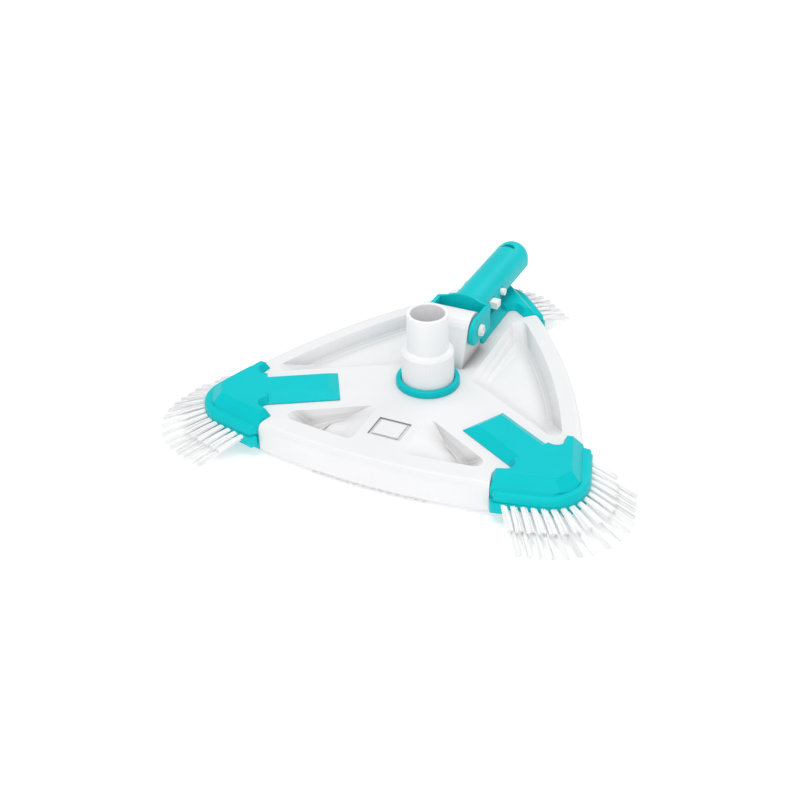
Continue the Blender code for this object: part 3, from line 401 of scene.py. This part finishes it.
def tube(bm, path, radii, sides):
    """A closed tube through the points of a path."""
    rings = []
    for i, (centre, radius) in enumerate(zip(path, radii)):
        ahead = path[min(i + 1, len(path) - 1)] - path[max(i - 1, 0)]
        turn = ahead.to_track_quat("Z", "Y").to_matrix()
        ring = []
        for k in range(sides):
            angle = 2 * math.pi * k / sides
            rim = turn @ Vector((math.cos(angle), math.sin(angle), 0)) * radius
            ring.append(bm.verts.new(centre + rim))
        rings.append(ring)
    for first, second in zip(rings, rings[1:]):
        for k in range(sides):
            following = (k + 1) % sides
            bm.faces.new((first[k], first[following], second[following], second[k]))
    bm.faces.new(list(reversed(rings[0])))
    bm.faces.new(rings[-1])


def sweep(bm, lines):
    """A closed bar whose edges along its length are these rows of points."""
    for first, second in zip(lines, lines[1:] + lines[:1]):
        for k in range(len(first) - 1):
            bm.faces.new((first[k], first[k + 1], second[k + 1], second[k]))
    bm.faces.new([line[0] for line in lines])
    bm.faces.new([line[-1] for line in reversed(lines)])


def arc(centre, radius, start, end, steps):
    """Points of an arc in plan, from one angle to the other, in degrees."""
    points = []
    for i in range(steps + 1):
        angle = math.radians(start + (end - start) * i / steps)
        points.append(Vector((centre[0] + radius * math.cos(angle), centre[1] + radius * math.sin(angle))))
    return points


# ---------------------------------------------------------------- bristles


def tuft(bm, chance, root, tip, root_half, tip_half, count, filament, bow=0.0):
    """A bundle of filaments, in an oval that opens a little towards the tip. They bow up on the way."""
    along = (tip - root).normalized()
    across = Vector((-along.y, along.x, 0.0)).normalized()
    upwards = along.cross(across)
    length = (tip - root).length
    for _ in range(count):
        angle = chance.uniform(0, 2 * math.pi)
        spread = math.sqrt(chance.random())
        sideways = spread * math.cos(angle)
        upright = spread * math.sin(angle)
        start = root + across * sideways * root_half[0] + upwards * upright * root_half[1]
        end = tip + across * sideways * tip_half[0] + upwards * upright * tip_half[1]
        end += along * chance.gauss(0, END_SCATTER * length + LEAST_END_SCATTER)
        rise = Vector((0, 0, bow * chance.uniform(BOW_LOW, BOW_HIGH)))
        middle = start.lerp(end, MIDDLE_AT) + rise * MIDDLE_RISE
        quarter = start.lerp(middle, 0.5) + rise * QUARTER_RISE
        end.z = max(end.z, FLOOR_Z + filament)
        radii = [filament, filament, filament, filament * FILAMENT_END]
        tube(bm, [start, quarter, middle, end], radii, FILAMENT_SIDES)


def flange_walk(distance, offset):
    """The place this far off the wall, at this distance along the flange's face from the nose."""
    swing = math.radians(WALL_TURN)
    side = 1 if distance >= 0 else -1
    run = abs(distance)
    angle = min(run / (NOSE_RADIUS + FLANGE), swing)
    outward = Vector((math.cos(angle), math.sin(angle)))
    place = Vector((NOSE_CENTRE, 0)) + outward * (NOSE_RADIUS + offset)
    past = run - swing * (NOSE_RADIUS + FLANGE)
    if past > 0:
        place += Vector((-outward.y, outward.x)) * past
    return Vector((place.x, side * place.y))


def fan_tuft(bm, chance, distance, root_z, tip_z, length):
    """A side brush tuft, turned away from the corner's middle the more, the further along it stands."""
    place = flange_walk(distance, FLANGE - TUFT_BURIED)
    degrees = TUFT_TURN * (1 - math.exp(-abs(distance) / TURN_LENGTH))
    turn = math.radians(math.copysign(degrees, distance))
    tip = place + Vector((math.cos(turn), math.sin(turn))) * (length + TUFT_BURIED)
    root = Vector((place.x, place.y, root_z))
    end = Vector((tip.x, tip.y, tip_z))
    tuft(bm, chance, root, end, TUFT_ROOT, TUFT_TIP, FILAMENTS, FILAMENT_RADIUS, TUFT_BOW)


def side_brushes():
    """Each side brush node becomes its strip, which is teal like the cover, and its loose filaments."""
    chance = random.Random(7)
    bm = bmesh.new()
    for i in range(LONG_TUFTS):
        distance = (i - (LONG_TUFTS - 1) / 2) * TUFT_PITCH
        fan_tuft(bm, chance, distance, LONG_ROOT_Z, LONG_TIP_Z, LONG_TUFT)
    for i in range(LONG_TUFTS + 1):
        distance = (i - LONG_TUFTS / 2) * TUFT_PITCH
        fan_tuft(bm, chance, distance, SHORT_ROOT_Z, SHORT_TIP_Z, SHORT_TUFT)
    filaments = mesh_from(bm, "side_filaments")
    strip = mesh_from(brush_strip(), "brush_strip")
    for side, angle in CORNERS.items():
        held = piece(f"{side}_brush_strip", strip, TEAL, "head", angle)
        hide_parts(f"{side}_side_brush")
        fan = piece(f"{side}_side_filaments", filaments, BRISTLE, "head", angle)


def brush_strip():
    """The lower half of the flange, which holds the tufts."""
    outer = band_line(FLANGE)
    inner = band_line(STRIP_BACK)
    low = STRIP_BOTTOM
    high = FLANGE_BOTTOM - STRIP_GAP
    bm = bmesh.new()
    section = [(outer, high), (outer, low), (inner, low), (inner, high)]
    lines = [[bm.verts.new((p.x, p.y, z)) for p in line] for line, z in section]
    sweep(bm, lines)
    return bm


def band_line(offset):
    """The flange's line in plan, at this distance outside the head's wall."""
    nose = arc((NOSE_CENTRE, 0), NOSE_RADIUS + offset, -WALL_TURN, WALL_TURN, ARC_STEPS)
    swing = math.radians(WALL_TURN)
    along = Vector((-math.sin(swing), math.cos(swing)))
    end = nose[-1] + along * (FLANGE_RUN - FLANGE_RAMP * offset / FLANGE)
    start = Vector((end.x, -end.y))
    return [start] + nose + [end]


def side_distance(s, offset):
    """How far out from the hub a side's arc is, this far along the side and this far outside the wall."""
    return SIDE_MIDDLE - SIDE_RADIUS + math.sqrt((SIDE_RADIUS + offset) ** 2 - s * s)


def base_brushes():
    """Each base brush node becomes its strip and its short trimmed filaments."""
    chance = random.Random(11)
    bm = bmesh.new()
    pitch = 2 * (BASE_STRIP_HALF - BASE_END_MARGIN) / (BASE_TUFTS - 1)
    for count, inset in ((BASE_TUFTS, BASE_OUTER_ROW), (BASE_TUFTS - 1, BASE_INNER_ROW)):
        for i in range(count):
            s = (i - (count - 1) / 2) * pitch
            n = side_distance(s, BASE_STRIP_OUTSIDE - inset)
            root = Vector((n, s, BASE_Z + BASE_TUFT_BURIED))
            tip = Vector((n + BASE_TUFT_LEAN, s, FLOOR_Z + BASE_TUFT_CLEAR))
            tuft(
                bm, chance, root, tip, BASE_TUFT_ROOT, BASE_TUFT_TIP, BASE_FILAMENTS, BASE_FILAMENT_RADIUS
            )
    filaments = mesh_from(bm, "base_filaments")
    strip = mesh_from(base_strip(), "base_strip")
    for side, angle in SIDES.items():
        held = piece(f"{side}_base_strip", strip, WHITE, "head", angle)
        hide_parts(f"{side}_base_brush")
        fan = piece(f"{side}_base_filaments", filaments, BRISTLE, "head", angle)


def base_strip():
    """The curved bar under a side that holds its trimmed tufts."""
    bm = bmesh.new()
    places = [BASE_STRIP_HALF * (2 * i / ARC_STEPS - 1) for i in range(ARC_STEPS + 1)]
    outer = BASE_STRIP_OUTSIDE
    inner = BASE_STRIP_OUTSIDE - BASE_STRIP_WIDTH
    top = BASE_STRIP_TOP
    low = BASE_STRIP_LOW
    section = [(outer, top), (outer, low), (inner, low), (inner, top)]
    lines = [[bm.verts.new((side_distance(s, offset), s, z)) for s in places] for offset, z in section]
    sweep(bm, lines)
    return bm


# ---------------------------------------------------------------- finishes on the CAD nodes


def dress_cad_nodes():
    """Gives each CAD node the finish that its slot names. The spigot's white is a little brighter, which is
    painted light.
    """
    for entry in frame["record"]["subparts"]:
        node = frame["nodes"][entry["node"]]
        material = FINISHES[entry["material_slot"]]
        # The spigot's brighter white is painted light.
        if entry["node"] == "hose_spigot":
            material = SPIGOT_PAINTED_LIGHT
        node.data.materials.clear()
        node.data.materials.append(material)
        node.data.shade_smooth()
        node.data.set_sharp_from_angle(angle=math.radians(NODE_SHARP))


# ---------------------------------------------------------------- studio


def pale_floor():
    """A wide plain floor that glows a little, so that it comes out nearly white."""
    bm = bmesh.new()
    bmesh.ops.create_grid(bm, x_segments=1, y_segments=1, size=FLOOR_HALF)
    floor = bpy.data.objects.new("floor", mesh_from(bm, "floor", smooth=False))
    bpy.context.scene.collection.objects.link(floor)
    floor.location.z = -FLOOR_DROP
    made = Shader("pale_floor")
    made.colour_between(made.noise(2.0), (0.90, 0.90, 0.90), (0.92, 0.92, 0.92))
    made.set(Roughness=0.75, Specular_IOR_Level=0.2)
    made.set(Emission_Color=(1.0, 1.0, 1.0, 1.0), Emission_Strength=FLOOR_GLOW)
    floor.data.materials.append(made.material)


def white_sky():
    """Even white light from all round, with colours shown as they are."""
    world = bpy.context.scene.world or bpy.data.worlds.new("World")
    bpy.context.scene.world = world
    world.use_nodes = True
    background = world.node_tree.nodes["Background"]
    background.inputs["Color"].default_value = (1.0, 1.0, 1.0, 1.0)
    background.inputs["Strength"].default_value = SKY_STRENGTH
    bpy.context.scene.view_settings.view_transform = "Standard"


def panel(name, place, aim, size, watts):
    """A square soft light, aimed at a point."""
    light = bpy.data.lights.new(name, "AREA")
    light.shape = "SQUARE"
    light.size = size
    light.energy = watts
    obj = bpy.data.objects.new(name, light)
    bpy.context.scene.collection.objects.link(obj)
    obj.location = place
    obj.rotation_euler = (Vector(aim) - Vector(place)).to_track_quat("-Z", "Y").to_euler()


def camera():
    """The camera, placed from the hub: back along its line of sight, then across and up in its picture."""
    azimuth, elevation, roll = (math.radians(a) for a in (AZIMUTH, ELEVATION, ROLL))
    back = Vector(
        (
            math.sin(azimuth) * math.cos(elevation),
            -math.cos(azimuth) * math.cos(elevation),
            math.sin(elevation),
        )
    )
    level = Vector((0, 0, 1)).cross(back).normalized()
    upright = back.cross(level)
    right = level * math.cos(roll) + upright * math.sin(roll)
    up = -level * math.sin(roll) + upright * math.cos(roll)
    place = (HUB + back * DISTANCE + right * AIM_RIGHT + up * AIM_UP) * MM
    lens = bpy.data.cameras.new("camera")
    lens.lens = LENS
    lens.sensor_width = SENSOR
    lens.clip_start = CLIP_START
    obj = bpy.data.objects.new("camera", lens)
    bpy.context.scene.collection.objects.link(obj)
    turn = Matrix((right, up, back)).transposed().to_4x4()
    obj.matrix_world = Matrix.Translation(place) @ turn
    bpy.context.scene.camera = obj


dress_cad_nodes()
side_brushes()
base_brushes()
pale_floor()
white_sky()
panel("key", place=(-0.15, -0.1, 1.5), aim=(0.0, 0.0, 0.0), size=1.1, watts=11.0)
panel("back", place=(0.35, 1.1, 0.9), aim=(0.0, 0.0, 0.0), size=0.8, watts=3.5)
panel("fill", place=(0.6, -1.3, 0.75), aim=(0.0, 0.0, 0.02), size=1.2, watts=6.0)
camera()
